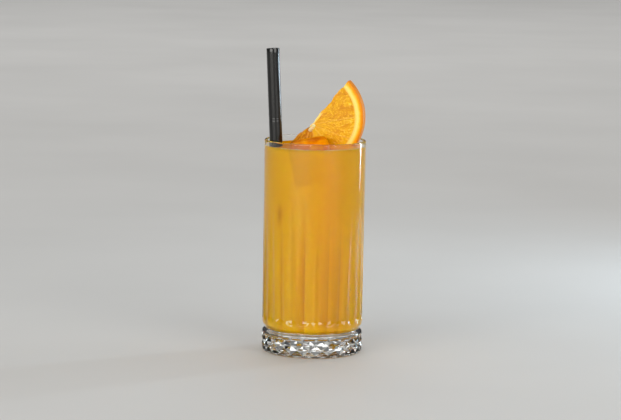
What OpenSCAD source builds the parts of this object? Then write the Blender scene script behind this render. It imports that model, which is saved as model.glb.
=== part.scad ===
// Tall pressed glass of orange juice: a fluted highball with a diamond-cut foot,
// filled to just under the rim, with an ice cube, a half wheel of orange and a straw.
// Millimetres. Z is up, the glass stands on z = 0 with its axis on the Z axis,
// and -Y is the side that the cut face of the orange looks to.

/* [Glass] */
// Height of the glass
glass_h = 150; // [125:1:180]
// Outer diameter at the rim
rim_d = 71.2; // [66:0.2:86]
// Outer diameter of the fluted body just above the groove
body_d = 70.5; // [66:0.5:84]
// Outer diameter of the foot
foot_d = 71; // [66:0.5:84]
// Wall thickness at the rim
rim_wall = 2; // [1.6:0.1:3]
// Wall thickness at the bottom of the drink, where the flutes are cut
low_wall = 5.4; // [4:0.1:7]
// Height of the inner floor above the table
floor_z = 14; // [12:0.5:22]
// Radius of the rounded corner between the inner floor and the wall
floor_round = 7; // [3:0.5:12]

/* [Groove and foot] */
// Height of the middle of the groove above the table
groove_z = 17.4; // [16:0.1:24]
// Radius of the groove's rounded bottom
groove_round = 1.4; // [0.8:0.1:2]
// Depth of the groove, measured from the body
groove_depth = 2.2; // [1:0.1:3]
// Rounding of the foot's upper shoulder and the body's lower end
shoulder_round = 3; // [2:0.1:4]
// Rounding of the foot's lower edge
foot_round = 2.6; // [1:0.1:4]
// Width of the ring that the glass stands on
ring_w = 9; // [4:0.5:12]
// Depth of the hollow under the foot
hollow_depth = 0.8; // [0.4:0.1:2]

/* [Flutes] */
// Number of flutes round the body
flute_count = 24; // [16:1:28]
// Radius of the round hollow of a flute
flute_r = 8; // [5:0.5:12]
// Depth of a flute at its lower end
flute_depth = 1.4; // [0.6:0.1:1.4]
// Height of the lower ends of the flutes
flute_low = 22.6; // [22:0.1:30]
// Height at which the flutes have faded out
flute_top = 108; // [70:1:115]
// Turn of the flutes about the axis
flute_turn = 5; // [0:0.5:15]

/* [Diamond cuts on the foot] */
// Number of diamonds in each of the two rows
diamond_count = 24; // [16:1:28]
// Height of one diamond
diamond_h = 7; // [5:0.1:7]
// Height of the middle of the band of diamonds
diamond_z = 7.1; // [6.5:0.1:7.5]
// Depth of the cuts between the diamonds
diamond_depth = 1.3; // [0.5:0.1:1.5]
// Flat left at each point of a diamond, across the cuts
diamond_land = 0.6; // [0.4:0.1:1.5]

/* [Drink] */
// Free height between the rim and the level of the drink
head_space = 5.6; // [5:0.1:20]
// Height by which the drink climbs at the wall
climb_h = 1.5; // [0.5:0.1:2]
// Width of the ring over which the drink climbs
climb_w = 3.2; // [2:0.1:5]

/* [Straw] */
// Outer diameter of the straw
straw_d = 9; // [6:0.5:11]
// Wall thickness of the straw
straw_wall = 0.4; // [0.3:0.05:0.8]
// Length of the straw
straw_l = 198.6; // [180:0.2:240]
// Gap between the straw and the wall, at the rim
straw_clear = 0.7; // [0.7:0.1:8]
// Gap between the straw's foot and the wall, at the height of the floor
straw_foot_in = 3.7; // [3.5:0.1:10]
// Gap between the straw's foot and the floor
straw_gap = 0.3; // [0.1:0.1:1]

/* [Orange slice] */
// Diameter of the orange that the half wheel is cut from
orange_d = 70.6; // [60:0.2:86]
// Thickness of the slice
slice_t = 7; // [4:0.5:9]
// Least height of the middle of the orange above the rim; a larger orange rides higher
slice_up = 16; // [10:0.5:30]
// Gap between the slice and the wall at the rim
slice_clear = 1; // [0.5:0.5:6]
// Distance of the middle of the orange behind the axis of the glass
slice_back = 6; // [4:0.5:10]
// Turn of the slice about the vertical, its right end coming forward
slice_turn = 17; // [0:1:25]
// Angle of the upper cut edge above the horizontal
cut_up = 50.7; // [40:0.1:60]
// Angle of the lower cut edge below the horizontal
cut_down = 40.4; // [30:0.1:50]

/* [Ice] */
// Width and height of the ice cube
ice_w = 27; // [18:0.5:33]
// Depth of the ice cube, from front to back
ice_d = 24; // [16:0.5:25]
// Radius of the ball shape that the cube has melted to
ice_round = 18; // [14:0.5:20]
// Tilt of the ice cube, its right side up
ice_tilt = 13; // [0:1:30]
// Height of the middle of the ice cube below the rim
ice_below = 14.1; // [12:0.1:30]
// Gap between the back of the ice cube and the slice
ice_gap = 0.3; // [0.1:0.1:2]

/* [Hidden] */

ARC_STEPS = 6;      // segments of a rounded corner in a profile
FINE = 96;          // facets of the round shapes when drawn as a mesh
rim_r = rim_d / 2;
body_r = body_d / 2;
foot_r = foot_d / 2;
lip_r = rim_wall / 2;
inner_top_r = rim_r - rim_wall;
inner_low_r = body_r - low_wall;
wall_low_z = floor_z + floor_round;
lip_z = glass_h - lip_r;

// the drink
level_z = glass_h - head_space;
climb_steps = 6;
climb_fall = 3;     // how many times the climb falls by a factor e over its width

// the straw
straw_r = straw_d / 2;
straw_side = 195;   // direction of the straw's place at the rim, from +X
foot_side = 198.5;  // direction of its place at the floor
straw_rim = polar(inner_top_r - straw_r - straw_clear, straw_side, glass_h);
straw_low = polar(inner_low_r - straw_r - straw_foot_in, foot_side, floor_z);
straw_axis = (straw_rim - straw_low) / norm(straw_rim - straw_low);
straw_lean = acos(straw_axis[2]);
straw_dir = atan2(straw_axis[1], straw_axis[0]);
// the straw's foot stands clear of the rounded corner by the gap
straw_foot_z = floor_at(norm([straw_low[0], straw_low[1]]) + straw_r) + straw_gap
    + straw_r * sin(straw_lean);

// the slice: the core of the orange lies a little below and left of its middle
orange_r = orange_d / 2;
core = [-2.4, -6];
core_bulge = 1.6;   // radius of the lump of pith left at the core
core_short = 1;     // how much shorter than the slice is thick that lump is
slice_x = 1;        // place of the orange's middle, to the right of the axis
slice_reach = inner_top_r - slice_x - slice_clear;
slice_lift = max(slice_up, sqrt(max(0, orange_r * orange_r - slice_reach * slice_reach)));
slice_mid = [slice_x, slice_back, glass_h + slice_lift];
far = 2 * orange_r; // a length that reaches past the slice's edge

// the ice cube, just in front of the slice; it reaches to the right as far as its cut or melted side
ice_x = -2.3;       // place of its middle, to the left of the axis
ice_reach = min(ice_w / 2, sqrt(ice_round * ice_round - ice_d * ice_d / 4));
slice_front_y = slice_back - (ice_x + ice_reach - slice_mid[0]) * tan(slice_turn)
    - slice_t / 2 / cos(slice_turn);
ice_mid = [ice_x, slice_front_y - ice_gap - ice_d / 2, glass_h - ice_below];

// The point at a radius and an angle from +X, at height z
function polar(r, a, z) = [r * cos(a), r * sin(a), z];

// Points of an arc about [x, z], from angle a to angle b
function arc(x, z, r, a, b) =
    [for (i = [0 : ARC_STEPS]) let (t = a + (b - a) * i / ARC_STEPS) [x + r * cos(t), z + r * sin(t)]];

// Inner radius of the glass at height z, above the rounded corner
function inner_r(z) =
    inner_low_r + (inner_top_r - inner_low_r) * (z - wall_low_z) / (lip_z - wall_low_z);

// Outer radius of the body at height z, before the flutes are cut
function outer_r(z) = body_r + (rim_r - body_r) * (z - groove_z) / (lip_z - groove_z);

// Height of the inner floor at radius r
function floor_at(r) =
    let (past = r - (inner_low_r - floor_round))
    past <= 0 ? floor_z : floor_z + floor_round - sqrt(floor_round * floor_round - past * past);

// A point on the straw's middle line at height z
function straw_at(z) = straw_rim + straw_axis * ((z - glass_h) / straw_axis[2]);

// Inner profile, from the middle of the floor to the end of its rounded corner, as [r, z] points
function inner_profile() =
    concat([[0, floor_z]], arc(inner_low_r - floor_round, wall_low_z, floor_round, -90, 0));

// Outer profile: hollow foot, rounded edge, shoulder, groove, body
groove_r = body_r - groove_depth;
function outer_profile() = concat(
    [[0, hollow_depth], [foot_r - foot_round - ring_w, hollow_depth],
     [foot_r - foot_round - ring_w + hollow_depth, 0]],
    arc(foot_r - foot_round, foot_round, foot_round, -90, 0),
    arc(foot_r - shoulder_round, groove_z - shoulder_round - shoulder_gap, shoulder_round, 0, 60),
    arc(groove_r + groove_round, groove_z, groove_round, 240, 120),
    arc(body_r - shoulder_round, groove_z + shoulder_round + shoulder_gap, shoulder_round, -60, 0));
shoulder_gap = 1;   // height left between a shoulder's arc and the middle of the groove

module glass_blank() {
    rotate_extrude($fn = FINE) polygon(concat(
        outer_profile(),
        arc(rim_r - lip_r, lip_z, lip_r, 0, 180),
        reverse(inner_profile())));
}

function reverse(list) = [for (i = [len(list) - 1 : -1 : 0]) list[i]];

// Round cutter of a flute: its axis leans outward, so that the flute fades out upward
module flute_cutter() {
    lean = atan((flute_depth + outer_r(flute_top) - outer_r(flute_low)) / (flute_top - flute_low));
    translate([outer_r(flute_low) - flute_depth + flute_r, 0, flute_low])
        rotate([0, lean, 0]) rotate(180)
        cylinder(h = flute_top - flute_low + 2 * flute_r, r = flute_r, $fn = FINE);
}

// The blank with its first flutes cut, one after another, up to the given count
module fluted_blank(count) {
    if (count == 0)
        glass_blank();
    else
        difference() {
            fluted_blank(count - 1);
            rotate(flute_turn - 90 + count * 360 / flute_count) flute_cutter();
        }
}

// One slanting V-cut of the diamond band; side is 1 or -1 for its slant
module diamond_cut(side) {
    pitch = 2 * PI * foot_r / diamond_count;
    slant = atan2(pitch, diamond_h);
    half_w = (pitch * cos(slant) - diamond_land) / 2;
    out = 0.1;      // height of the cutter's back above the surface, so that neighbours stay apart
    cut_l = 3.6 * diamond_h;    // length of a cut, which runs out of the band at both ends
    wide = half_w * (1 + out / diamond_depth);
    translate([foot_r, 0, diamond_z])
        rotate([side * slant, 0, 0])
        linear_extrude(cut_l, center = true)
        polygon([[-diamond_depth, 0], [out, -wide], [out, wide]]);
}

// The diamond cuts of one slant, all round
module diamond_cuts(side) {
    for (i = [0 : diamond_count - 1])
        rotate(flute_turn - 90 + (i + side / 4) * 360 / diamond_count) diamond_cut(side);
}

module glass() {
    color([0.86, 0.9, 0.9, 0.35])
    difference() {
        difference() {
            fluted_blank(flute_count);
            diamond_cuts(1);
        }
        diamond_cuts(-1);
    }
}

// Everything below the level, with the climb at the wall
module drink_blank() {
    wall_r = inner_r(level_z + climb_h);
    rotate_extrude($fn = FINE) polygon(concat(
        inner_profile(),
        [for (i = [0 : climb_steps])
            let (t = i / climb_steps)
            [wall_r - t * climb_w, level_z + climb_h * (exp(-climb_fall * t) - t * exp(-climb_fall))]],
        [[0, level_z]]));
}

module straw_rod(d, past = 0) {
    start = straw_at(straw_foot_z);
    translate(start - past * straw_axis)
        rotate([0, straw_lean, straw_dir]) cylinder(h = straw_l + 2 * past, d = d, $fn = 48);
}

module straw() {
    color([0.08, 0.08, 0.08])
    difference() {
        straw_rod(straw_d);
        straw_rod(straw_d - 2 * straw_wall, 1);
    }
}

module orange_slice() {
    color([0.98, 0.62, 0.05])
    translate(slice_mid) rotate([0, 0, -slice_turn])
    union() {
        intersection() {
            sphere(r = orange_r, $fn = FINE);
            rotate([90, 0, 0]) linear_extrude(slice_t, center = true) polygon([
                core,
                core + far * [cos(cut_up), sin(cut_up)],
                [far, far],
                [far, -far],
                [-far, -far],
                core + far * [-cos(cut_down), -sin(cut_down)]]);
        }
        translate([core[0], 0, core[1]]) rotate([90, 0, 0])
            cylinder(h = slice_t - core_short, r = core_bulge, center = true, $fn = 32);
    }
}

module ice_cube() {
    color([0.9, 0.85, 0.7, 0.6])
    translate(ice_mid) rotate([0, -ice_tilt, 0]) intersection() {
        cube([ice_w, ice_d, ice_w], center = true);
        sphere(r = ice_round, $fn = FINE);
    }
}

module juice() {
    color([0.95, 0.62, 0.02])
    difference() {
        drink_blank();
        straw();
        orange_slice();
        ice_cube();
    }
}

glass();
juice();
straw();
orange_slice();
ice_cube();
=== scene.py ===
# %% [markdown]
# A tall pressed glass of orange juice. The glass has fine flutes down its body, a groove above
# its foot and a band of diamonds cut round the foot. It holds cloudy juice almost to the rim, an ice
# cube that just breaks the surface, a half wheel of orange and a black straw. This lesson makes
# each of them as a surface worked out from a formula, over the measured model that is loaded
# first, and gives each a finish made of shader nodes.

# %% Load the measured model
import math
import bmesh
import bpy
import numpy as np
from mathutils import Matrix, Vector


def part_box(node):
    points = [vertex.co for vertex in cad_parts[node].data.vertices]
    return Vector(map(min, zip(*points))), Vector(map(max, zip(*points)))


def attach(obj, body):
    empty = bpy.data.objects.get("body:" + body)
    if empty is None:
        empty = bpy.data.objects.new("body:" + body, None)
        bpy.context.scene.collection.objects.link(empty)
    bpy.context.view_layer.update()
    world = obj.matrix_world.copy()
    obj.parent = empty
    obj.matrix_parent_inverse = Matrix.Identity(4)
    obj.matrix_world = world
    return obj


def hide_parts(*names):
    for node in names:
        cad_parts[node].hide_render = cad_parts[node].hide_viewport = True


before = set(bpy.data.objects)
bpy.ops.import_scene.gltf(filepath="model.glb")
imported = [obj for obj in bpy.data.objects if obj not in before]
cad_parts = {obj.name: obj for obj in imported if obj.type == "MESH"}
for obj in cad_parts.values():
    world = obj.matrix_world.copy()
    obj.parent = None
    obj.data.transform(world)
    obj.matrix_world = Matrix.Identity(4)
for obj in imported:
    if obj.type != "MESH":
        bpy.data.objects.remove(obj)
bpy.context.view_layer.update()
MM = 0.001

# %% [markdown]
# The scene is shown as its colours are measured, so the picture keeps the clear yellow orange
# of the juice. The other common view washes strong colours out.

# %% Colour of the picture
scene = bpy.context.scene
scene.view_settings.view_transform = "Standard"
scene.view_settings.look = "None"


def linear(red, green, blue):
    """Linear light of a colour given as 0 to 255 on a screen: the standard screen curve undone."""
    value = np.array([red, green, blue]) / 255
    low = value / 12.92
    high = ((value + 0.055) / 1.055) ** 2.4
    return (*np.where(value < 0.04045, low, high), 1.0)


# %% [markdown]
# Sizes come first. What can be read from the measured solids is read from them: the height of
# the glass, its rim, the level of the drink. The sizes of shapes inside a solid, such as the depth
# of a flute, are named here once.

# %% Sizes of the glass
glass_low, glass_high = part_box("glass")
juice_low, juice_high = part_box("juice")
HEIGHT = glass_high[2]
RIM_R = (glass_high[0] - glass_low[0]) / 2
LIP_R = 1.0 * MM  # half of the wall at the rim
LIP_Z = HEIGHT - LIP_R
BODY_R = 35.25 * MM
FOOT_R = 35.5 * MM
FOOT_ROUND = 2.6 * MM
SHOULDER = 3.0 * MM
SHOULDER_GAP = 1.0 * MM
GROOVE_Z = 17.4 * MM
GROOVE_ROUND = 1.4 * MM
GROOVE_R = BODY_R - 2.2 * MM
RING_W = 9.0 * MM
HOLLOW = 0.8 * MM
FLOOR_Z = juice_low[2]
FLOOR_ROUND = 7.0 * MM
INNER_TOP_R = RIM_R - 2 * LIP_R
INNER_LOW_R = BODY_R - 5.4 * MM
COLUMNS_A_FLUTE = 16
FLUTES = 24
COLUMNS = FLUTES * COLUMNS_A_FLUTE
PITCH = 2 * math.pi / FLUTES
TURN = math.radians(5 - 90)  # direction of the first flute
FLUTE_R = 8.0 * MM
FLUTE_DEPTH = 1.4 * MM
FLUTE_LOW = 22.6 * MM
FLUTE_TOP = 108 * MM
DIAMOND_Z = 7.1 * MM
DIAMOND_H = 7.0 * MM
DIAMOND_DEPTH = 1.3 * MM
print("glass", round(HEIGHT / MM, 1), "mm tall,", round(2 * RIM_R / MM, 1), "mm at the rim")


# %% [markdown]
# Most of this object is turned on an axis, like a pot on a wheel. Such a shape starts as an
# outline of arcs and lines, so these are the first two helpers.

# %% Outlines
def arc(r, z, radius, start, stop, steps):
    """Outline points on a circle about (r, z), from one angle in degrees to another."""
    t = np.radians(np.linspace(start, stop, steps))
    return np.stack([r + radius * np.cos(t), z + radius * np.sin(t)], axis=1)


def line(start, stop, steps):
    """Outline points spaced evenly from one point to another, both ends included."""
    return np.linspace(start, stop, steps)


# %% [markdown]
# A turned shape is a grid. Its rows are the points of the outline, and its columns go round the
# axis and close into a ring. At each end one triangle to a column closes the ring to a pole.

# %% Grids
def ring_quads(rows, columns):
    """Faces of a grid whose columns close into a ring; they face out where the rows go up."""
    i = np.arange(rows - 1)[:, None] * columns
    j = np.arange(columns)[None, :]
    k = (j + 1) % columns
    quads = np.stack([i + j, i + k, i + columns + k, i + columns + j], axis=-1)
    return quads.reshape(-1, 4)


def pole_triangles(first, columns, pole, last):
    """Triangles that close a ring of points to one pole, at the grid's first or last row."""
    j = np.arange(columns)
    k = (j + 1) % columns
    ends = [first + j, first + k] if last else [first + k, first + j]
    return np.stack([*ends, np.full(columns, pole)], axis=-1)


def closed_faces(rows, columns):
    """Squares of a ring grid, and the triangles to its two poles, which follow it as points."""
    count = rows * columns
    poles = [pole_triangles(0, columns, count, False),
             pole_triangles(count - columns, columns, count + 1, True)]
    return ring_quads(rows, columns), np.concatenate(poles)


def turned(radii, heights, columns):
    """Points of a turned shape: each row's radius, which may change round it, and its height."""
    angle = np.arange(columns) * 2 * math.pi / columns
    radii = np.broadcast_to(radii, (len(heights), columns))
    height = np.broadcast_to(np.asarray(heights)[:, None], radii.shape)
    return np.stack([radii * np.cos(angle), radii * np.sin(angle), height], axis=-1)


def smooth_step(low, high, value):
    """0 below low, 1 above high, and the curve 3t^2 - 2t^3 between them."""
    t = np.clip((value - low) / (high - low), 0, 1)
    return t * t * (3 - 2 * t)


# %% [markdown]
# Blender takes points and faces as whole arrays, which is much quicker than adding them one by one.
# A piece is an object of such a mesh. It stays at the origin, and it is told which body it rides
# with and which measured solid it stands for.

# %% Meshes and pieces
def new_mesh(name, points, *groups):
    """A mesh from an array of points and arrays of faces, each array of one number of corners."""
    mesh = bpy.data.meshes.new(name)
    corners = np.concatenate([group.ravel() for group in groups]).astype(np.int32)
    sizes = np.concatenate([np.full(len(group), group.shape[1]) for group in groups])
    mesh.vertices.add(len(points))
    mesh.vertices.foreach_set("co", np.asarray(points, dtype=np.float32).ravel())
    mesh.loops.add(len(corners))
    mesh.loops.foreach_set("vertex_index", corners)
    mesh.polygons.add(len(sizes))
    mesh.polygons.foreach_set("loop_start", (np.cumsum(sizes) - sizes).astype(np.int32))
    mesh.update(calc_edges=True)
    mesh.polygons.foreach_set("use_smooth", np.ones(len(sizes), dtype=bool))
    mesh.validate()
    return mesh


def point_values(mesh, name, values):
    """Store one number for each point of a mesh, for its material to read."""
    data = mesh.attributes.new(name, "FLOAT", "POINT").data
    data.foreach_set("value", np.asarray(values, dtype=np.float32).ravel())


def new_piece(mesh, slot, *nodes):
    """An object of the mesh, at the origin, that rides with the glass and stands for CAD nodes."""
    piece = bpy.data.objects.new(mesh.name, mesh)
    scene.collection.objects.link(piece)
    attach(piece, "root")
    if nodes:
        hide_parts(*nodes)
    triangles = sum(len(face.vertices) - 2 for face in mesh.polygons)
    print(mesh.name, triangles, "triangles")
    return piece


# %% [markdown]
# A flute is the hollow that a long round tool leaves. Its near wall lies where a ray from the
# axis meets the tool, which is the usual meeting of a line and a circle. The tool leans
# outward, so the flute fades as it rises, and it ends in a ball, so the flute's foot is a
# small scallop. One formula gives the radius for all the points at once.

# %% Flutes
def outer_r(z):
    """Radius of the body before its flutes: a straight taper from the groove to the lip."""
    return BODY_R + (RIM_R - BODY_R) * (z - GROOVE_Z) / (LIP_Z - GROOVE_Z)


def flute_r(angle, z):
    """Radius at which a ray from the axis meets the nearest flute's tool.

    With the tool's middle at distance a and the ray t off its direction, the near wall is at
    a cos t - sqrt(R^2 - a^2 sin^2 t). Below the middle of the ball end, R^2 loses the square of
    the height below it. Where the ray misses the tool the answer is endless.
    """
    t = (angle - TURN + PITCH / 2) % PITCH - PITCH / 2
    lean = (FLUTE_DEPTH + outer_r(FLUTE_TOP) - outer_r(FLUTE_LOW)) / (FLUTE_TOP - FLUTE_LOW)
    middle = outer_r(FLUTE_LOW) - FLUTE_DEPTH + FLUTE_R + (z - FLUTE_LOW) * lean
    ball_z = FLUTE_LOW + math.sqrt(FLUTE_R ** 2 - (FLUTE_R - FLUTE_DEPTH) ** 2)
    drop = np.minimum(z - ball_z, 0)
    inside = FLUTE_R ** 2 - drop ** 2 - (middle * np.sin(t)) ** 2
    wall = middle * np.cos(t) - np.sqrt(np.maximum(inside, 0))
    return np.where(inside > 0, wall, np.inf)


# %% [markdown]
# The band of diamonds is two families of V-cuts that slant opposite ways and cross. Unrolled,
# each family is a row of straight lines, one to a pitch, and the cut is deepest on the line
# and nothing half way to the next, so what is left between the crossings are low pyramids.

# %% Diamonds
DIAMOND_STEPS = 16
diamond_rows = np.arange(-DIAMOND_STEPS + 1, DIAMOND_STEPS)


def diamond_depth(angle, z):
    """Depth of the deeper of the two V-cuts at a point, fading out just past both rows."""
    s = (angle - TURN) / PITCH
    h = (z - DIAMOND_Z) / DIAMOND_H
    down = np.abs((s + h - 0.25 + 0.5) % 1 - 0.5)
    up = np.abs((s - h + 0.25 + 0.5) % 1 - 0.5)
    painted_light_and_streaks = 1 - 2 * np.minimum(down, up)
    fade = 1 - smooth_step(0.75, 0.95, np.abs(h))
    return DIAMOND_DEPTH * painted_light_and_streaks * fade


def foot_r(z):
    """Radius of the foot's side: straight, and rounded in at the lower edge by a circle."""
    below = np.maximum(FOOT_ROUND - z, 0)
    return FOOT_R - FOOT_ROUND + np.sqrt(FOOT_ROUND ** 2 - below ** 2)


# %% [markdown]
# The whole glass is one closed surface: from the middle of the underside out to the ring it
# stands on, up the diamonds, the groove and the flutes, over the rounded lip, and down the
# smooth inside to the thick floor. The rows of the band are set so that every crease of a
# diamond runs through grid points.

# %% Outline of the glass
INNER_ROWS = 34
CORNER_ROWS = 12
FLOOR_ROWS = 8
START_R = 2 * MM  # first ring about the pole of the floor
DENSE_TOP = 34 * MM  # the rows stand closer up to here, past the flutes' feet


def glass_outline():
    """Rows of the glass as (radius, height), with the first and last row of the band."""
    ring_in = FOOT_R - FOOT_ROUND - RING_W
    band_z = DIAMOND_Z + diamond_rows / DIAMOND_STEPS * DIAMOND_H
    start = -math.degrees(math.acos((FOOT_ROUND - band_z[0]) / FOOT_ROUND))
    under = [
        line((3 * MM, HOLLOW), (ring_in, HOLLOW), 8),
        arc(ring_in + HOLLOW, HOLLOW, HOLLOW, 180, 270, 6)[1:],
        line((ring_in + 2 * MM, 0), (FOOT_R - FOOT_ROUND, 0), 5),
        arc(FOOT_R - FOOT_ROUND, FOOT_ROUND, FOOT_ROUND, -90, -90 - start, 6)[1:-1],
    ]
    band = np.stack([foot_r(band_z), band_z], axis=1)
    foot_top = GROOVE_Z - SHOULDER - SHOULDER_GAP
    body_low = GROOVE_Z + SHOULDER + SHOULDER_GAP
    slope = math.degrees(math.atan2(RIM_R - BODY_R, LIP_Z - GROOVE_Z))
    flute_z = np.concatenate([line(body_low, DENSE_TOP, 30)[1:], line(DENSE_TOP, LIP_Z, 46)[1:-1]])
    above = [
        arc(FOOT_R - SHOULDER, foot_top, SHOULDER, 5, 60, 9),
        arc(GROOVE_R + GROOVE_ROUND, GROOVE_Z, GROOVE_ROUND, 240, 120, 13),
        arc(BODY_R - SHOULDER, body_low, SHOULDER, -60, 0, 9),
        np.stack([outer_r(flute_z), flute_z], axis=1),
        arc(RIM_R - LIP_R, LIP_Z, LIP_R, -slope, 180, 15),
        line((INNER_TOP_R, LIP_Z), (INNER_LOW_R, FLOOR_Z + FLOOR_ROUND), INNER_ROWS)[1:-1],
        arc(INNER_LOW_R - FLOOR_ROUND, FLOOR_Z + FLOOR_ROUND, FLOOR_ROUND, 0, -90, CORNER_ROWS),
        line((INNER_LOW_R - FLOOR_ROUND, FLOOR_Z), (START_R, FLOOR_Z), FLOOR_ROWS)[1:],
    ]
    under = np.concatenate(under)
    rows = np.concatenate([under, band, *above])
    return rows, len(under), len(under) + len(band) - 1


# %% [markdown]
# The outline is turned, and the flutes and the diamonds take their depth off the radius at each
# point. The squares of the band are halved along the creases. They stay flat shaded, so the
# facets sparkle, while all the rest is smooth as fire polished glass is.

# %% The glass
def halved(quads, even):
    """Two triangles from each square, split along one way where even is true, else the other."""
    a, b, c, d = quads.T
    one = np.where(even, [a, b, c], [a, b, d])
    two = np.where(even, [a, c, d], [b, c, d])
    return np.concatenate([one.T, two.T])


def turn_z(angle):
    """Matrix that turns row vectors about Z by an angle."""
    c, s = math.cos(angle), math.sin(angle)
    return np.array([[c, s, 0], [-s, c, 0], [0, 0, 1]])


def glass_mesh():
    """The glass: its outline turned, less the flutes on the body and the diamonds on the foot."""
    rows, band_first, band_last = glass_outline()
    angle = np.arange(COLUMNS) * 2 * math.pi / COLUMNS + TURN
    radius = np.repeat(rows[:, :1], COLUMNS, axis=1)
    height = rows[:, 1:2]
    inside_rows = INNER_ROWS - 2 + CORNER_ROWS + FLOOR_ROWS - 1
    outside = np.arange(len(rows)) < len(rows) - inside_rows
    on_body = outside & (rows[:, 1] > GROOVE_Z) & (rows[:, 1] < LIP_Z)
    radius[on_body] = np.minimum(radius[on_body], flute_r(angle, height[on_body]))
    band = slice(band_first, band_last + 1)
    radius[band] -= diamond_depth(angle, height[band])
    points = turned(radius, rows[:, 1], COLUMNS) @ turn_z(TURN)
    points = np.concatenate([points.reshape(-1, 3), [[0, 0, HOLLOW], [0, 0, FLOOR_Z]]])
    quads, poles = closed_faces(len(rows), COLUMNS)
    row_of = np.arange(len(quads)) // COLUMNS
    in_band = (row_of >= band_first) & (row_of < band_last)
    step = row_of - band_first + diamond_rows[0] + np.arange(len(quads)) % COLUMNS
    facets = halved(quads[in_band], step[in_band] % 2 == 0)
    mesh = new_mesh("glass_body", points, facets, quads[~in_band], poles)
    smooth = np.arange(len(mesh.polygons)) >= len(facets)
    mesh.polygons.foreach_set("use_smooth", smooth)
    return mesh


glass = new_piece(glass_mesh(), "clear_glass", "glass")

# %% [markdown]
# The straw, the slice and the ice stand in the drink, so their places are worked out before it.
# Each is read from the box of its solid: the straw from its two ends, the slice from its
# sides, the ice from its middle.

# %% Places of the straw, the slice and the ice
straw_low, straw_high = (np.array(corner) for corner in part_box("straw"))
slice_low = np.array(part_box("orange_slice")[0])
ice_low, ice_high = (np.array(corner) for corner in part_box("ice_cube"))
STRAW_R = 4.5 * MM
STRAW_WALL = 0.4 * MM
straw_foot = np.array([straw_high[0] - STRAW_R, straw_high[1] - STRAW_R, straw_low[2]])
straw_tip = np.array([straw_low[0] + STRAW_R, straw_low[1] + STRAW_R, straw_high[2]])
straw_way = (straw_tip - straw_foot) / np.linalg.norm(straw_tip - straw_foot)
SLICE_R = 35.3 * MM
SLICE_T = 7.0 * MM
SLICE_TURN = math.radians(17)
SLICE_X = 0.2 * MM
SLICE_Y = 6 * MM
slice_mid = np.array([SLICE_X, SLICE_Y, slice_low[2] + SLICE_R])
slice_right = np.array([math.cos(SLICE_TURN), -math.sin(SLICE_TURN), 0])
slice_front = np.array([-math.sin(SLICE_TURN), -math.cos(SLICE_TURN), 0])
slice_up = np.array([0, 0, 1.0])
ICE_W = 27 * MM
ICE_D = 24 * MM
ICE_TILT = math.radians(13)
ice_mid = (ice_low + ice_high) / 2
print("straw's foot, slice and ice at", *np.round([straw_foot, slice_mid, ice_mid], 4), "m")


# %% [markdown]
# Where a drink meets glass, straw, fruit or ice it climbs a little, and the climb dies away
# over a millimetre or so. The surface is therefore a height for each point of the plane: the level
# plus such a climb for each neighbour, and a hollow under the ice, which the ice fills.

# %% Surface of the drink
CLIMB = 1.5 * MM
CLIMB_FALL = 1.07 * MM
SLICE_DIP_MID = 5 * MM  # middle of the slice where the level cuts it
SLICE_DIP_HALF = 24 * MM
ICE_HOLLOW = 8 * MM
level = juice_high[2] - CLIMB
print("level of the drink", round(level / MM, 1), "mm up")


def inner_r(z):
    """Radius inside the glass above its rounded floor corner: a straight taper."""
    low = FLOOR_Z + FLOOR_ROUND
    return INNER_LOW_R + (INNER_TOP_R - INNER_LOW_R) * (z - low) / (LIP_Z - low)


def box_gap(x, y, middle, half_x, half_y):
    """Distance to a rectangle in the plane: below nothing inside it, and true outside."""
    dx = np.abs(x - middle[0]) - half_x
    dy = np.abs(y - middle[1]) - half_y
    outside = np.hypot(np.maximum(dx, 0), np.maximum(dy, 0))
    return outside + np.minimum(np.maximum(dx, dy), 0)


def drink_height(x, y):
    """Level plus the sum of climbs that fall by e over CLIMB_FALL, less the ice's hollow."""
    wall = inner_r(level) - np.hypot(x, y)
    at = straw_foot + straw_way * (level - straw_foot[2]) / straw_way[2]
    straw = np.abs(np.hypot(x - at[0], y - at[1]) - STRAW_R)
    u = (x - slice_mid[0]) * slice_right[0] + (y - slice_mid[1]) * slice_right[1]
    n = (x - slice_mid[0]) * slice_front[0] + (y - slice_mid[1]) * slice_front[1]
    fruit = np.maximum(box_gap(u, n, (SLICE_DIP_MID, 0), SLICE_DIP_HALF, SLICE_T / 2), 0)
    lean = math.tan(ICE_TILT) * (ice_mid[2] - level)
    ice = box_gap(x, y, (ice_mid[0] + lean, ice_mid[1]), ICE_W / 2 - 1 * MM, ICE_D / 2 - 1 * MM)
    climb = np.exp(-wall / CLIMB_FALL) + 0.5 * np.exp(-straw / CLIMB_FALL)
    climb += 0.5 * np.exp(-fruit / CLIMB_FALL) + 0.6 * np.exp(-np.maximum(ice, 0) / CLIMB_FALL)
    hollow = ICE_HOLLOW * smooth_step(0.5 * MM, 3 * MM, -ice)
    return level + CLIMB * np.minimum(climb, 1.2) - hollow


# %% [markdown]
# The drink is a turned solid as well. Its side reaches a little way into the glass's wall:
# with a gap of air between the two, the picture would show a silvery skin and the drink would look
# like a rod standing in the glass.

# %% The drink
WALL_BITE = 0.15 * MM
JUICE_COLUMNS = 320


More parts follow.
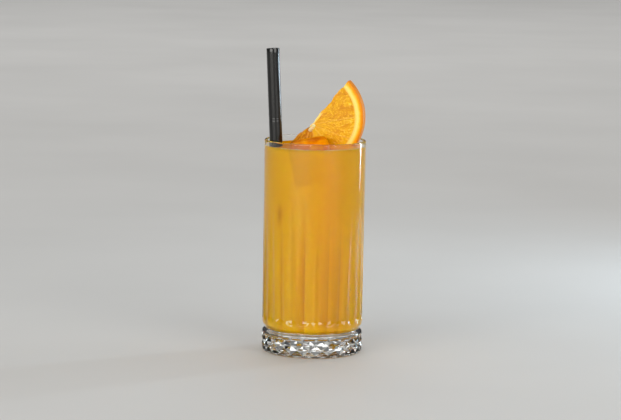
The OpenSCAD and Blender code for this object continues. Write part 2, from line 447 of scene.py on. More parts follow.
def juice_mesh():
    """Floor, corner and side of the inner wall moved out by the bite, and the wavy top."""
    corner_r = INNER_LOW_R - FLOOR_ROUND
    side_top = juice_high[2]
    rows = np.concatenate([
        line((START_R, FLOOR_Z - WALL_BITE), (corner_r, FLOOR_Z - WALL_BITE), 8)[:-1],
        arc(corner_r, FLOOR_Z + FLOOR_ROUND, FLOOR_ROUND + WALL_BITE, -90, 0, 12),
        line((INNER_LOW_R + WALL_BITE, FLOOR_Z + FLOOR_ROUND),
             (inner_r(side_top) + WALL_BITE, side_top), 64)[1:],
    ])
    ring = np.linspace(1, 0.02, 90)[1:, None]
    edge = turned(rows[:, :1], rows[:, 1], JUICE_COLUMNS)
    top = edge[-1:] * [1, 1, 0] * ring[:, :, None]
    top[..., 2] = drink_height(top[..., 0], top[..., 1])
    points = np.concatenate([edge, top]).reshape(-1, 3)
    centre = [[0, 0, FLOOR_Z - WALL_BITE], [0, 0, drink_height(0.0, 0.0)]]
    points = np.concatenate([points, centre])
    mesh = new_mesh("juice_body", points, *closed_faces(len(rows) + len(ring), JUICE_COLUMNS))
    for mark in (ice_shade, stripe, clump):
        point_values(mesh, mark.__name__, mark(points))
    on_top = np.arange(len(points)) >= len(rows) * JUICE_COLUMNS
    on_top[-2] = False
    point_values(mesh, "top", on_top)
    return mesh


# %% [markdown]
# The drink isn't the same all over. Painted light from its flutes and painted shade where the ice
# lies behind it make it lighter or darker in places that follow the shape and not a pattern, and a
# small soft dark mark sits at the left. So each point of the mesh carries a few numbers from 0 to 1,
# and the finish reads them as attributes.

# %% Marks on the drink
SMUDGE_X = -22.9 * MM
SMUDGE_Z = 99.5 * MM
SMUDGE_W = 1.6 * MM
SMUDGE_H = 6.5 * MM
FLUTE_LIGHT_FADE = (50 * MM, 115 * MM)  # heights between which the stripes fade out
FRONT_Y = -10 * MM  # the ice shows only in the wall in front of this


def stripe(points):
    """Painted light and shade in faint upright stripes of the drink, one to a flute, each with its
    own tone, from 0 to 1.

    A flute works as a weak lens, so its stripe also runs from light to dark across its width.
    """
    turn = np.arctan2(points[:, 1], points[:, 0]) - TURN
    flute = np.floor(turn / PITCH)
    across = turn / PITCH - flute
    tones = np.random.default_rng(5).random(FLUTES)[flute.astype(int) % FLUTES]
    fade = 1 - smooth_step(*FLUTE_LIGHT_FADE, points[:, 2])
    return 0.5 + fade * (0.5 * (tones - 0.5) + 0.5 * (across - 0.5))


def ice_shade(points):
    """Painted shade at a point of the drink's side where the ice lies close behind the wall, from 0
    to 1.

    The shade is painted where the drink in front of the ice is thin. Seen from the front the ice is
    a square turned by its tilt, so the point is turned back and compared with the square's sides.
    """
    x = points[:, 0] - ice_mid[0]
    z = points[:, 2] - ice_mid[2]
    across = x * math.cos(ICE_TILT) + z * math.sin(ICE_TILT)
    along = z * math.cos(ICE_TILT) - x * math.sin(ICE_TILT)
    sides = smooth_step(-ICE_W / 2 - 0.6 * MM, -ICE_W / 2 + 0.4 * MM, across)
    sides *= 1 - smooth_step(-ICE_W / 2 + 2 * MM, ICE_W / 2, across)
    foot = smooth_step(-ICE_W / 2 - 1.5 * MM, -ICE_W / 2 + 1.5 * MM, along)
    return sides * foot * (points[:, 1] < FRONT_Y)


def clump(points):
    """A small soft dark mark on the drink's side, from 0 to 1: a bell curve each way."""
    across = (points[:, 0] - SMUDGE_X) / SMUDGE_W
    along = (points[:, 2] - SMUDGE_Z) / SMUDGE_H
    return np.exp(-across ** 2 - along ** 2) * (points[:, 1] < 0)


juice = new_piece(juice_mesh(), "juice", "juice")

# %% [markdown]
# The round things below all start from one unit ball: the ice, the lump of pith at the core of
# the slice, the bubbles and the drops. Each is stretched or bent in its own way.

# %% A ball
def ball(rows, columns):
    """Points of a unit ball with its two poles last, and its faces."""
    v = np.linspace(-math.pi / 2, math.pi / 2, rows + 2)[1:-1, None]
    u = np.arange(columns) * 2 * math.pi / columns
    x = np.cos(v) * np.cos(u)
    y = np.cos(v) * np.sin(u)
    points = np.stack([x, y, np.broadcast_to(np.sin(v), x.shape)], axis=-1).reshape(-1, 3)
    points = np.concatenate([points, [[0, 0, -1], [0, 0, 1]]])
    return points, *closed_faces(rows, columns)


# %% [markdown]
# The ice cube has been melting, so its edges and corners are round. A superellipsoid does that
# with one formula: a ball whose sines and cosines are raised to a small power swells towards
# the corners of a box. A few slow waves make the faces uneven.

# %% The ice
ICE_POWER = 0.34
ICE_WAVE = 0.018
ICE_LIFT = 2.4 * MM  # it floats a little higher than the measured solid


def signed_power(value, power):
    """The value's size raised to a power, with its sign kept."""
    return np.sign(value) * np.abs(value) ** power


def ice_mesh():
    """A ball swollen to a cube, made wavy, stretched to its size, tilted and put in its place."""
    points, quads, poles = ball(72, 120)
    points = signed_power(points, ICE_POWER)
    x, y, z = np.split(points, 3, axis=1)
    wave = 1 + ICE_WAVE * np.sin(5 * y + 1) * np.cos(4 * x - 2 * z)
    points = points * wave * [ICE_W / 2, ICE_D / 2, ICE_W / 2]
    c, s = math.cos(ICE_TILT), math.sin(ICE_TILT)
    tilt = np.array([[c, 0, s], [0, 1, 0], [-s, 0, c]])
    return new_mesh("ice_block", points @ tilt + ice_mid + [0, 0, ICE_LIFT], quads, poles)


ice = new_piece(ice_mesh(), "ice", "ice_cube")

# %% [markdown]
# The straw is a thin tube, turned about its own leaning axis, with both ends rounded over. A
# slight crease runs round it a little above the rim, as on a straw that was bent once.

# %% The straw
CREASE_DOWN = 50 * MM
CREASE_DEPTH = 0.12 * MM


def straw_mesh():
    """Outer wall up, over the end, inner wall down and over the foot, about the straw's axis."""
    length = np.linalg.norm(straw_tip - straw_foot)
    half = STRAW_WALL / 2
    mid_r = STRAW_R - half
    crease_z = length - CREASE_DOWN
    along = np.concatenate([
        line(half, crease_z - 3 * MM, 30), line(crease_z - 3 * MM, crease_z + 3 * MM, 28)[1:-1],
        line(crease_z + 3 * MM, length - half, 14)])
    dent = CREASE_DEPTH * (np.exp(-((along - crease_z) / (0.5 * MM)) ** 2)
                           + np.exp(-((along - crease_z - 1.6 * MM) / (0.4 * MM)) ** 2))
    outer = np.stack([STRAW_R - dent, along], axis=1)
    inner = np.stack([STRAW_R - STRAW_WALL - dent, along], axis=1)[::-1]
    rows = np.concatenate([
        outer, arc(mid_r, length - half, half, 0, 180, 7)[1:-1],
        inner, arc(mid_r, half, half, 180, 360, 7)[1:-1]])
    columns = 72
    points = turned(rows[:, :1], rows[:, 1], columns)
    side = np.cross([0, 1.0, 0], straw_way)
    side /= np.linalg.norm(side)
    axes = np.stack([side, np.cross(straw_way, side), straw_way])
    points = points.reshape(-1, 3) @ axes + straw_foot
    quads = ring_quads(len(rows) + 1, columns) % len(points)  # the last row closes on the first
    return new_mesh("straw_tube", points, quads)


straw = new_piece(straw_mesh(), "straw", "straw")

# %% [markdown]
# The flesh of an orange is thousands of little sacs of juice, long and thin, that point to the
# core. Scattered cells, stretched along the radius, give that pattern. Each place belongs to the
# nearest of the points thrown one to a square, so looking at nine squares is enough.

# %% Cells
dice = np.random.default_rng(7)
THROWS = dice.random((64, 64, 3))


def cells(x, y):
    """How far a place is from its cell's border, 0 on it, and a number that the whole cell shares.

    It is the distance to the second nearest thrown point less that to the nearest.
    """
    column, row = np.floor(x).astype(int), np.floor(y).astype(int)
    nearest = np.full(x.shape, np.inf)
    second = np.full(x.shape, np.inf)
    number = np.zeros(x.shape)
    for step in range(9):
        i, j = column + step % 3 - 1, row + step // 3 - 1
        throw = THROWS[i % 64, j % 64]
        gap = np.hypot(i + throw[..., 0] - x, j + throw[..., 1] - y)
        second = np.minimum(second, np.maximum(nearest, gap))
        number = np.where(gap < nearest, throw[..., 2], number)
        nearest = np.minimum(nearest, gap)
    return second - nearest, number


# %% [markdown]
# The slice is a bit more than a half wheel, cut at the core. Each point of its cut face is
# found from an angle about the core and a share of the way to the skin, so the sacs, the thin
# walls between the segments, the white pith and the skin all follow simple formulas of those two.

# %% Places on the slice
CUT_UP = math.radians(50.7)
CUT_DOWN = math.radians(40.4 - 180)
CORE = np.array([-2.4, -6.0]) * MM
SEGMENT_WALLS = np.radians([-139.6, -108, -76, -45, -17, 12, 50.7])
SEGMENT_TONES = np.array([0.05, 0.2, 0.75, 0.72, 0.62, 0.5])
PITH_IN = 5.5 * MM
FACE_STEPS = 90
ANGLE_STEPS = 250
SKIN_ROUND = 0.9 * MM


def to_skin(angle):
    """Distance from the core to the round skin: the usual meeting of a ray and a circle."""
    along = CORE[0] * np.cos(angle) + CORE[1] * np.sin(angle)
    return -along + np.sqrt(along ** 2 - CORE @ CORE + SLICE_R ** 2)


def slice_point(u, v, front):
    """World points from places right of the slice's middle, above it and in front of it."""
    return (slice_mid + u[..., None] * slice_right + v[..., None] * slice_up
            + front[..., None] * slice_front)


def slice_place(angle, reach, front):
    """World points from an angle about the core, a distance from it and a place to the front."""
    return slice_point(CORE[0] + reach * np.cos(angle), CORE[1] + reach * np.sin(angle), front)


# %% [markdown]
# Large cells are the sacs and small ones their folds. The skin round a sac stands a little lower and
# paler than its middle, and some of these outlines carry a painted glint. The walls between
# segments, the core and a skirt of wall that the upper cut has left near the core are cream, not
# flesh.

# %% Flesh
def flesh(angle, reach, edge):
    """Sac pattern at an angle and reach: its height, and the numbers the finish is made from."""
    segment = np.searchsorted(SEGMENT_WALLS[1:-1], angle)
    bent = angle + 0.05 * np.sin(reach / (3.5 * MM) + 2 * segment)
    border, number = cells(bent * 14, reach / (3.6 * MM) + 20)
    fine, fine_number = cells(bent * 27 + 9, reach / (1.6 * MM) + 7)
    wall = np.min(np.abs(angle[..., None] - SEGMENT_WALLS), axis=-1) * reach
    skirt = smooth_step(1.7 * MM, 0.8 * MM, (CUT_UP - angle) * reach)
    skirt *= smooth_step(13 * MM, 9 * MM, reach)
    in_flesh = smooth_step(PITH_IN - 0.5 * MM, PITH_IN + 0.8 * MM, edge)
    in_flesh = in_flesh * (0.78 + 0.22 * smooth_step(0.1 * MM, 0.45 * MM, wall))
    in_flesh = in_flesh * smooth_step(1 * MM, 3 * MM, reach) * (1 - skirt)
    # Some outlines are paler: partly the thin skin's own colour, partly a painted glint where only
    # some of them light up.
    outline_and_glint = (1 - smooth_step(0.02, 0.16, border)) * smooth_step(0.25, 0.8, fine_number)
    sac = 1 - np.maximum(outline_and_glint, 0.6 * (1 - smooth_step(0, 0.12, fine)) * number)
    tone = 0.25 * number + 0.2 * fine_number + 0.55 * SEGMENT_TONES[segment]
    height = in_flesh * (0.34 * sac - 0.26) * MM + 0.1 * MM * (1 - in_flesh)
    return height, sac, tone, in_flesh


# %% [markdown]
# The knife strayed a little, so both cuts wave. The front, the skin and the back are one grid
# that fans from the lower cut to the upper one, and the flesh stands out of its two faces.

# %% Wheel of the slice
KNIFE_STRAY = 0.45 * MM


def cut_wave(reach):
    """How far the knife strayed at a distance from the core: two sine waves, none at the core."""
    wave = np.sin(reach / (1.1 * MM)) * 0.35 + np.sin(reach / (2.9 * MM) + 1)
    return KNIFE_STRAY * wave * smooth_step(0, 3 * MM, reach)


def skin_outline():
    """The skin's section from front to back: a quarter round, a straight and a quarter round."""
    half = SLICE_T / 2
    skin = np.concatenate([
        arc(-SKIN_ROUND, half - SKIN_ROUND, SKIN_ROUND, 90, 0, 6),
        arc(-SKIN_ROUND, SKIN_ROUND - half, SKIN_ROUND, 0, -90, 6)])
    return np.concatenate([skin[:6], line(skin[5], skin[6], 7)[1:-1], skin[6:]])


def sheet(reach_of, front):
    """Angles, reaches and places to the front of a grid that fans between the two cuts."""
    way = np.linspace(0, 1, ANGLE_STEPS)[:, None]
    reach = reach_of(to_skin(CUT_DOWN + way * (CUT_UP - CUT_DOWN)))
    turn = cut_wave(reach) / np.maximum(reach, 2 * MM)
    angle = CUT_DOWN + turn + way * (CUT_UP - CUT_DOWN - 2 * turn)
    return angle, reach, np.broadcast_to(front, reach.shape)


def wheel_grid(skin):
    """Front, skin and back as one grid: its points, values, reaches and distances to the skin."""
    half = SLICE_T / 2
    share = np.linspace(0, 1, FACE_STEPS)
    angle_f, reach_f, front = sheet(lambda far: share * (far - SKIN_ROUND), half)
    angle_s, reach_s, side = sheet(lambda far: far + skin[1:-1, 0], skin[1:-1, 1])
    angle = np.concatenate([angle_f, angle_s, angle_f[:, ::-1]], axis=1)
    reach = np.concatenate([reach_f, reach_s, reach_f[:, ::-1]], axis=1)
    place = np.concatenate([front, side, -front[:, ::-1]], axis=1)
    edge = to_skin(angle) - reach
    height, sac, tone, in_flesh = flesh(angle, reach, edge)
    on_face = np.abs(place) > half - 1e-7
    raised = np.sign(place) * height * smooth_step(0.5 * MM, 2 * MM, edge)
    place = place + np.where(on_face, raised, 0)
    values = np.stack([edge / MM, sac, tone, in_flesh], axis=-1)
    return slice_place(angle, reach, place), values, reach, edge


# %% [markdown]
# Each cut face is a grid between the front's edge and the back's, and its sacs swell out of it.

# %% Cut faces
def cut_grid(row, skin, points, reach, edge):
    """A cut face: a straight mix of the front's row and the back's, and a dome on each cell.

    Row 0 is the lower cut, and row -1 the upper one, which is cream near the core.
    """
    upper = row == -1
    weight = ((SLICE_T / 2 - skin[:, 1]) / SLICE_T)[:, None, None]
    cut = points[row, :FACE_STEPS] * (1 - weight) + points[row, :-FACE_STEPS - 1:-1] * weight
    skin_points = points[row, FACE_STEPS - 1:FACE_STEPS - 1 + len(skin)][:, None]
    cut = np.concatenate([cut, skin_points], axis=1)
    cut_reach = np.append(reach[row, :FACE_STEPS], reach[row, FACE_STEPS + len(skin) // 2 - 1])
    cut_edge = np.append(edge[row, :FACE_STEPS], 0.0)
    x = np.broadcast_to(cut_reach / (3 * MM), cut.shape[:2])
    y = np.broadcast_to(weight[..., 0] * 5, cut.shape[:2])
    border, number = cells(x + 30, y + 10)
    inner = np.sin(math.pi * weight[..., 0]) * smooth_step(PITH_IN, PITH_IN + 2 * MM, cut_edge)
    inner = inner * smooth_step(0, 2 * MM, cut_reach)
    direction = CUT_UP if upper else CUT_DOWN
    out = (math.sin(direction) * slice_right - math.cos(direction) * slice_up) * (-1 if upper else 1)
    dome = 0.5 * MM * np.sqrt(np.clip(border, 0, 1)) * np.clip(inner, 0, 1)
    cut = cut + dome[..., None] * out
    cream = smooth_step(12 * MM, 7 * MM, cut_reach) if upper else np.zeros(FACE_STEPS + 1)
    flesh_share = (1 - cream) * smooth_step(PITH_IN - 0.5 * MM, PITH_IN + 0.8 * MM, cut_edge)
    values = np.stack(np.broadcast_arrays(
        cut_edge / MM, np.clip(border * 1.6, 0, 1), 0.3 + 0.4 * number, flesh_share), axis=-1)
    return cut, values


# %% [markdown]
# The cut faces share their edges with the wheel, so merging the doubles makes one closed body.

# %% The slice of orange
def welded(name, grids, names):
    """One mesh from several open grids that share edges: their doubles merged, facing outward."""
    shapes = [grid.shape[:2] for grid, _ in grids]
    starts = np.cumsum([0] + [rows * columns for rows, columns in shapes[:-1]])
    faces = []
    for start, (rows, columns) in zip(starts, shapes):
        i = start + np.arange(rows - 1)[:, None] * columns + np.arange(columns - 1)
        faces.append(np.stack([i, i + 1, i + columns + 1, i + columns], axis=-1).reshape(-1, 4))
    points = np.concatenate([grid.reshape(-1, 3) for grid, _ in grids])
    mesh = new_mesh(name, points, np.concatenate(faces))
    values = np.concatenate([value.reshape(-1, len(names)) for _, value in grids])
    for column, title in enumerate(names):
        point_values(mesh, title, values[:, column])
    shell = bmesh.new()
    shell.from_mesh(mesh)
    bmesh.ops.remove_doubles(shell, verts=shell.verts, dist=1e-6)
    bmesh.ops.recalc_face_normals(shell, faces=shell.faces)
    open_edges = sum(not edge.is_manifold for edge in shell.edges)
    shell.to_mesh(mesh)
    shell.free()
    print(name, "open edges", open_edges)
    return mesh


def slice_mesh():
    """The wheel's grid and the two cut faces, welded along their edges."""
    skin = skin_outline()
    points, values, reach, edge = wheel_grid(skin)
    grids = [(points, values)] + [cut_grid(row, skin, points, reach, edge) for row in (0, -1)]
    return welded("slice_body", grids, ("edge", "sac", "tone", "flesh"))


orange = new_piece(slice_mesh(), "orange", "orange_slice")

# %% [markdown]
# At the core sits a lump of white pith, torn a little by the knife. It is a ball stretched along
# the cut, its radius made uneven by a few waves.

# %% Core of the slice
CORE_SIZE = np.array([3.6, 1.8, 3.4]) * MM
CORE_SHIFT = np.array([0.6, -2.2, 1.9]) * MM
CORE_TURN = CUT_DOWN + 0.2


def core_mesh():
    """A long uneven ball at the core, its long way along the lower cut."""
    points, quads, poles = ball(22, 36)
    x, y, z = np.split(points, 3, axis=1)
    wave = 1 + 0.1 * np.sin(4 * x + 2) * np.cos(5 * y) + 0.07 * np.sin(9 * z + 3 * x)
    points = points * wave * CORE_SIZE
    c, s = math.cos(CORE_TURN), math.sin(CORE_TURN)
    u = CORE[0] + CORE_SHIFT[0] + points[:, 0] * c - points[:, 1] * s
    v = CORE[1] + CORE_SHIFT[1] + points[:, 0] * s + points[:, 1] * c
    return new_mesh("slice_core", slice_point(u, v, points[:, 2] + CORE_SHIFT[2]), quads, poles)


core = new_piece(core_mesh(), "orange")

# %% [markdown]
# Shaking leaves small bubbles where the drink meets the glass, more on some stretches than on
# others. They sit on the climbing edge of the surface. The wet straw carries a few tiny drops.

# %% Bubbles and drops
def many_balls(name, places, radii):
    """One mesh of many balls: the unit ball times each radius, moved to each place."""
    points, quads, poles = ball(6, 10)
    count = len(points)
    spread = points[None] * radii[:, None, None] + places[:, None, :]
    shift = np.arange(len(places))[:, None, None] * count
    return new_mesh(name, spread.reshape(-1, 3), (quads[None] + shift).reshape(-1, 4),
                    (poles[None] + shift).reshape(-1, 3))


BUBBLES = 220
BUBBLE_SIDE = -80  # degrees about the axis: most of them are at the front
BUBBLE_SPREAD = 38
BUBBLE_OFF = 0.3  # mean gap to the wall, in mm
around = np.radians(dice.normal(BUBBLE_SIDE, BUBBLE_SPREAD, BUBBLES))
bubble_r = dice.uniform(0.22, 0.6, BUBBLES) * MM
from_axis = inner_r(level) - bubble_r - dice.exponential(BUBBLE_OFF, BUBBLES) * MM
bubble_x, bubble_y = from_axis * np.cos(around), from_axis * np.sin(around)
bubble_z = drink_height(bubble_x, bubble_y) + 0.75 * bubble_r
bubble_at = np.stack([bubble_x, bubble_y, bubble_z], axis=1)
bubbles = new_piece(many_balls("bubbles", bubble_at, bubble_r), "juice")

DROPS_HIGH = 22
DROPS_LOW = 12
up_straw = np.concatenate([dice.uniform(0.80, 0.97, DROPS_HIGH), dice.uniform(0.66, 0.8, DROPS_LOW)])
DROPS = len(up_straw)
drop_turn = dice.uniform(0, 2 * math.pi, DROPS)
drop_r = dice.uniform(0.1, 0.26, DROPS) * MM
across = np.cross(straw_way, [0, 1.0, 0])
across /= np.linalg.norm(across)
toward = np.cross(straw_way, across)
out_way = np.cos(drop_turn)[:, None] * across + np.sin(drop_turn)[:, None] * toward
drop_at = straw_foot + up_straw[:, None] * (straw_tip - straw_foot) + out_way * STRAW_R
drops = new_piece(many_balls("drops", drop_at, drop_r), "ice")


# %% [markdown]
# Finishes come next. A material is a small network of nodes, and sums in it read best as plain
# Python. So one small class wraps an output of a node and knows plus, minus and times.

# %% Sums of wires
class Wire:
    """One output of a node; sums with numbers or other wires add Math nodes."""

    def __init__(self, finish, socket):
        self.finish = finish
        self.socket = socket

    def maths(self, operation, first, second, **settings):
        return self.finish.add("Math", {"operation": operation, **settings}, {0: first, 1: second})

    def __add__(self, other):
        return self.maths("ADD", self, other)

    def __sub__(self, other):
        return self.maths("SUBTRACT", self, other)

    def __rsub__(self, other):
        return self.maths("SUBTRACT", other, self)

    def __mul__(self, other):
        return self.maths("MULTIPLY", self, other)

    def clipped(self):
        return self.maths("ADD", self, 0.0, use_clamp=True)

    __radd__ = __add__
    __rmul__ = __mul__


# %% [markdown]
# Another class holds a material. One method of it adds any node, from its type, its settings and
# what feeds its sockets. The short ones below it name the nodes that are used most.

# %% Materials
class Finish:
    """A material with one Principled shader, and a way to add nodes and feed sockets."""

    def __init__(self, name, *pieces, **uniform):
        self.material = bpy.data.materials.new(name)
        self.material.use_nodes = True
        self.tree = self.material.node_tree
        self.shader = self.tree.nodes["Principled BSDF"]
        for title, value in uniform.items():
            self.feed(self.shader.inputs[title.replace("_", " ")], value)
        for piece in pieces:
            piece.data.materials.append(self.material)
        print("finish", name, "on", *[piece.name for piece in pieces])

    def feed(self, socket, value):
        """Link a wire to a socket, or set a plain value on it."""
        if isinstance(value, Wire):
            self.tree.links.new(value.socket, socket)
        else:
            socket.default_value = value

    def add(self, kind, settings, feeds, out=0):
        """Any node: its type, its settings first, then its sockets' values or wires."""
        node = self.tree.nodes.new("ShaderNode" + kind)
        for name, value in settings.items():
            if name == "stops":
                self.set_stops(node.color_ramp.elements, value)
            else:
                setattr(node, name, value)
        for name, value in feeds.items():
            self.feed(node.inputs[name], value)
        return Wire(self, node.outputs[out])

    def set_stops(self, elements, stops):
        while len(elements) < len(stops):
            elements.new(1.0)
        for element, (place, colour) in zip(elements, stops):
            element.position = place
            element.color = colour

    def mix(self, factor, first, second, blend="MIX"):
        settings = {"data_type": "RGBA", "blend_type": blend}
        return self.add("Mix", settings, {0: factor, 6: first, 7: second}, 2)

    def ramp(self, factor, *stops):
        """A colour ramp; each stop is a place and a screen colour of three numbers."""
        stops = [(place, linear(*colour)) for place, *colour in stops]
        return self.add("ValToRGB", {"stops": stops}, {0: factor})

    def noise(self, scale, stretch=(1, 1, 1), detail=3.0):
        place = self.add("Mapping", {}, {"Vector": self.place(), "Scale": stretch})
        return self.add("TexNoise", {}, {"Vector": place, "Scale": scale, "Detail": detail})

    def place(self):
        return self.add("TexCoord", {}, {}, "Object")

    def along(self, axis):
        return self.add("SeparateXYZ", {}, {0: self.place()}, axis)

    def attribute(self, name):
        return self.add("Attribute", {"attribute_name": name}, {}, "Fac")

    def bump(self, height, strength, distance):
        feeds = {"Height": height, "Strength": strength, "Distance": distance}
        self.give("Normal", self.add("Bump", {}, feeds))

    def give(self, name, value):
        self.feed(self.shader.inputs[name], value)


# %% [markdown]
# Pressed glass is clear with the faintest grey green, and its moulded skin is not quite flat.
# A slow, weak bump gives it that slight shimmer.

# %% Glass
clear = Finish("clear_pressed_glass", glass, Transmission_Weight=1.0, IOR=1.5, Roughness=0.0)
clear.give("Base Color", (0.965, 0.985, 0.975, 1.0))
clear.bump(clear.noise(70, (1, 1, 0.35), 2.0), 0.12, 0.3 * MM)

# %% [markdown]
# Orange juice is cloudy: light goes a little way in and comes out yellower. Subsurface scatter does
# that. The colour is painted lighter and yellower at the left, where more light comes through, and
# deeper towards the right, with soft upright streaks and a painted stripe of light and shade down
# each flute. Where the ice lies close behind the wall, painted shade makes a darker patch, and a
# small soft dark mark sits at the left. The open top is painted deeper still, as shade, since little
# light comes back out of it.

# %% Juice
drink = Finish("orange_juice", juice, Roughness=0.32, Subsurface_Weight=0.25,
               Subsurface_Scale=4 * MM, IOR=1.35, Specular_IOR_Level=0.0)
drink.give("Subsurface Radius", (1.0, 0.45, 0.08))
# Painted light: the drink is lighter at the left, where more light comes through it, and deeper to
# the right.
painted_light_across = drink.along("X") * (0.5 / RIM_R) + 0.5
streaks = drink.noise(60, (1, 1, 0.06), 2.0)
flute_light = drink.attribute("stripe")
painted_light_and_streaks = (painted_light_across + (streaks - 0.5) * 0.3 + (flute_light - 0.5) * 0.35).clipped()
body_colour = drink.ramp(painted_light_and_streaks, (0.0, 255, 199, 0), (0.3, 255, 196, 0), (0.52, 255, 190, 0),
                         (0.68, 254, 183, 0), (0.85, 255, 192, 0), (1.0, 255, 197, 0))
pulp = drink.noise(420, (1, 1, 0.6), 3.0)
cloud = drink.noise(34, (1, 1, 0.5), 3.0)
body_colour = drink.mix(((pulp - 0.58) * 3.0).clipped() * 0.35, body_colour, linear(216, 146, 0))
body_colour = drink.mix(((cloud - 0.5) * 2.0).clipped() * 0.25, body_colour, linear(238, 178, 0))
# Painted shade where the ice lies close behind the wall, and the small soft dark mark at the left.
painted_shade_and_smudge = drink.attribute("ice_shade") * 0.35 + drink.attribute("clump") * 0.8
body_colour = drink.mix(painted_shade_and_smudge, body_colour, linear(214, 144, 0))
# Painted light and shade: a stripe down each flute, where the flute gathers light like a weak lens.
body_colour = drink.mix(((flute_light - 0.5) * 2.4).clipped(), body_colour, linear(234, 162, 0))
# Painted shade: the open top is deeper orange, since little light comes back out of it.
painted_top_shade = drink.ramp(cloud, (0.4, 230, 128, 0), (0.6, 250, 168, 0))
drink.give("Base Color", drink.mix(drink.attribute("top"), body_colour, painted_top_shade))
drink.give("Roughness", pulp * 0.2 + 0.22)
drink.bump(pulp, 0.15, 0.2 * MM)

foam = Finish("bubbles_of_juice", bubbles, Roughness=0.08, Subsurface_Weight=0.3,
              Subsurface_Scale=1 * MM, IOR=1.35, Coat_Weight=0.6)
foam.give("Base Color", foam.ramp(foam.noise(600), (0.35, 250, 214, 110),
                                  (0.65, 255, 244, 205)))

# %% [markdown]
# The cut orange shows four layers that follow the distance from the skin: the oily skin, a yellower
# layer under it, the cream pith and the flesh. In the flesh each sac has its own tone, the thin skin
# round it is paler, with a painted glint along some of it, and all of it is wet.

# %% Orange
fruit = Finish("cut_orange", orange, Subsurface_Weight=0.25, Subsurface_Scale=2 * MM,
               IOR=1.38, Coat_Weight=0.06, Coat_Roughness=0.06, Specular_IOR_Level=0.2)
fruit.give("Subsurface Radius", (1.0, 0.45, 0.1))
edge = fruit.attribute("edge")
wobble = (fruit.noise(260) - 0.5) * 1.6
layers = fruit.ramp(
    (edge + wobble) * 0.1, (0.0, 222, 132, 0), (0.1, 228, 140, 0),
    (0.17, 234, 160, 2), (0.24, 246, 196, 44), (0.38, 250, 220, 122),
    (0.5, 250, 214, 108), (0.6, 250, 216, 122))
tone = fruit.attribute("tone")
sacs = fruit.ramp(tone, (0.15, 176, 92, 0), (0.35, 210, 138, 0),
                  (0.6, 222, 163, 0), (0.85, 232, 178, 0))
# Paler thin skin round each sac, partly its own colour and partly painted glints.
sac_walls_and_glints = fruit.mix((1 - fruit.attribute("sac")).clipped() * 0.75, sacs, linear(255, 212, 66))
fruit.give("Base Color", fruit.mix(fruit.attribute("flesh"), layers, sac_walls_and_glints))
fruit.give("Roughness", fruit.attribute("flesh") * -0.2 + 0.42 + wobble * 0.05)
pores = fruit.add("TexVoronoi", {}, {"Vector": fruit.place(), "Scale": 900.0})
fruit.bump(pores + fruit.noise(900) * 0.6, 0.5, 0.3 * MM)

pith = Finish("white_pith", core, Subsurface_Weight=0.3, Subsurface_Scale=2 * MM, Roughness=0.5)
pith.give("Base Color", pith.ramp(pith.noise(500), (0.3, 214, 186, 110),
                                  (0.55, 240, 226, 170), (0.75, 252, 244, 214)))
pith.bump(pith.noise(700), 0.5, 0.4 * MM)

# %% [markdown]
# The ice has melted wet and smooth, with cloudy marks inside that show as slight roughness. It is
# coated with the juice round it and takes its colour, painted as deep as the shaded open top of the
# drink. The drops are plain water.

# %% Ice and water
frozen = Finish("wet_ice", ice, Transmission_Weight=0.1, IOR=1.31, Specular_IOR_Level=0.0)
# Painted shade: the ice takes the deep orange of the drink's shaded open top.
frozen.give("Base Color", frozen.ramp(frozen.noise(160), (0.38, 210, 106, 0),
                                      (0.52, 234, 130, 0), (0.68, 252, 170, 0)))
frozen.give("Roughness", ((frozen.noise(120) - 0.45) * 1.2).clipped() * 0.5 + 0.03)
frozen.bump(frozen.noise(110), 0.3, 0.5 * MM)
water = Finish("water", drops, Transmission_Weight=1.0, IOR=1.33, Roughness=0.0)
water.give("Base Color", (1.0, 1.0, 1.0, 1.0))

# %% [markdown]
# The straw is glossy black plastic, drawn lengthwise, so its fine marks are long and upright.

# %% Straw
black = Finish("black_straw_plastic", straw, IOR=1.48, Coat_Weight=0.45, Coat_Roughness=0.04,
               Specular_IOR_Level=0.3)
marks = black.noise(900, (1, 1, 0.02), 2.0)
black.give("Base Color", black.ramp(marks, (0.35, 4, 4, 4), (0.7, 10, 9, 8)))
black.give("Roughness", marks * 0.14 + 0.22)
black.bump(marks, 0.08, 0.1 * MM)


# %% [markdown]
# The stage is a wide pale floor, large enough to fill the picture from above and from the side.

# %% Floor
FLOOR_R = 8.0
FLOOR_ROWS_OUT = 24
FLOOR_COLUMNS = 96


def floor_mesh():
    """Rings about the middle, each a fixed factor larger than the one before, closed at it."""
    radii = np.geomspace(0.05, FLOOR_R, FLOOR_ROWS_OUT)[::-1]
    rows = turned(radii[:, None], np.zeros(FLOOR_ROWS_OUT), FLOOR_COLUMNS).reshape(-1, 3)
    points = np.concatenate([rows, [[0, 0, 0]]])
    last = (FLOOR_ROWS_OUT - 1) * FLOOR_COLUMNS
    return new_mesh("floor", points, ring_quads(FLOOR_ROWS_OUT, FLOOR_COLUMNS),
                    pole_triangles(last, FLOOR_COLUMNS, len(points) - 1, True))


floor = bpy.data.objects.new("floor", floor_mesh())
scene.collection.objects.link(floor)
pale = Finish("pale_floor", floor, Roughness=0.6)
pale.give("Base Color", pale.ramp(pale.noise(3.0), (0.3, 206, 205, 202),
                                  (0.7, 213, 212, 209)))

# %% [markdown]
# Clear glass has no colour of its own: it shows what is round it. So the sky of the studio is
# lighter above and darker low down at the sides, which draws the edges of the glass.

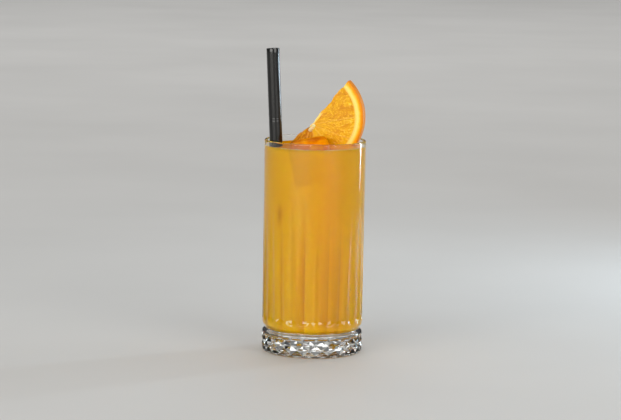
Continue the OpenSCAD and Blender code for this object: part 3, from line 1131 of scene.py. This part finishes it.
# %% Sky of the studio
SKY_STOPS = [(0.0, (0.12, 0.12, 0.13, 1)), (0.55, (1.0, 1.0, 1.0, 1))]
SKY_POWER = 0.46
world = bpy.data.worlds.new("studio")
scene.world = world
world.use_nodes = True
sky = world.node_tree
way_out = sky.nodes.new("ShaderNodeTexCoord")
split = sky.nodes.new("ShaderNodeSeparateXYZ")
fade = sky.nodes.new("ShaderNodeValToRGB")
sky.links.new(way_out.outputs["Generated"], split.inputs[0])
sky.links.new(split.outputs["Z"], fade.inputs[0])
sky.links.new(fade.outputs[0], sky.nodes["Background"].inputs["Color"])
for stop, (height, colour) in zip(fade.color_ramp.elements, SKY_STOPS):
    stop.position = height
    stop.color = colour
sky.nodes["Background"].inputs["Strength"].default_value = SKY_POWER


# %% [markdown]
# Two large soft boxes light the drink from the left front and the right front. A tall narrow
# oval stands right of it and a little behind, for the bright line down the edge of the glass. A
# low wide one gives the straw its bluish line, and a last one lights the floor far behind.

# %% Soft boxes
def looking(place, aim, roll):
    """Matrix of a thing at a place whose -Z looks to a point, its head rolled by an angle."""
    back = Vector(place) - Vector(aim)
    turn = back.to_track_quat("Z", "Y").to_matrix().to_4x4()
    return Matrix.Translation(place) @ turn @ Matrix.Rotation(roll, 4, "Z")


def soft_box(name, place, aim, width, height, power, colour, shape="RECTANGLE"):
    """A flat light of a width and height at a place, facing a point."""
    data = bpy.data.lights.new(name, "AREA")
    data.shape = shape
    data.size, data.size_y = width, height
    data.energy = power
    data.color = colour
    lamp = bpy.data.objects.new(name, data)
    scene.collection.objects.link(lamp)
    lamp.matrix_world = looking(place, aim, 0.0)
    lamp.visible_camera = False
    print(name, power, "W")


soft_box("left_box", (-1.8, -2.9, 0.9), (0, 0, 0.1), 3.0, 1.4, 86, (1.0, 0.985, 0.95))
soft_box("right_box", (2.2, -2.6, 1.0), (0, 0, 0.1), 2.4, 1.4, 50, (1.0, 0.985, 0.95))
soft_box("edge_box", (0.62, 0.42, 0.27), (0, 0, 0.27), 0.055, 0.5, 1.7, (0.74, 0.88, 1.0),
         "ELLIPSE")
soft_box("straw_box", (0.54, 0.25, 0.165), (0, 0, 0.165), 0.42, 0.05, 0.55, (0.66, 0.85, 1.0))
soft_box("floor_box", (0.0, 3.2, 2.8), (0, 3.0, 0), 4.0, 3.0, 42, (1.0, 1.0, 1.0))

# %% [markdown]
# The camera stands almost two metres off with a long lens, a little above the rim, and is rolled
# a degree, so the glass leans a little, as it does to a camera held by hand.

# %% Camera
AIM = Vector((-0.0025, 0, 0.100))
DISTANCE = 1.84
PITCH_DOWN = math.radians(7.63)
ROLL = math.radians(1.03)
FOCAL_MM = 151.6
lens = bpy.data.cameras.new("camera")
lens.lens = FOCAL_MM
lens.sensor_width = 36
lens.clip_end = 40
camera = bpy.data.objects.new("camera", lens)
scene.collection.objects.link(camera)
stand = AIM + DISTANCE * Vector((0, -math.cos(PITCH_DOWN), math.sin(PITCH_DOWN)))
camera.matrix_world = looking(stand, AIM, ROLL)
scene.camera = camera
print("camera", DISTANCE, "m off, lens", FOCAL_MM, "mm")
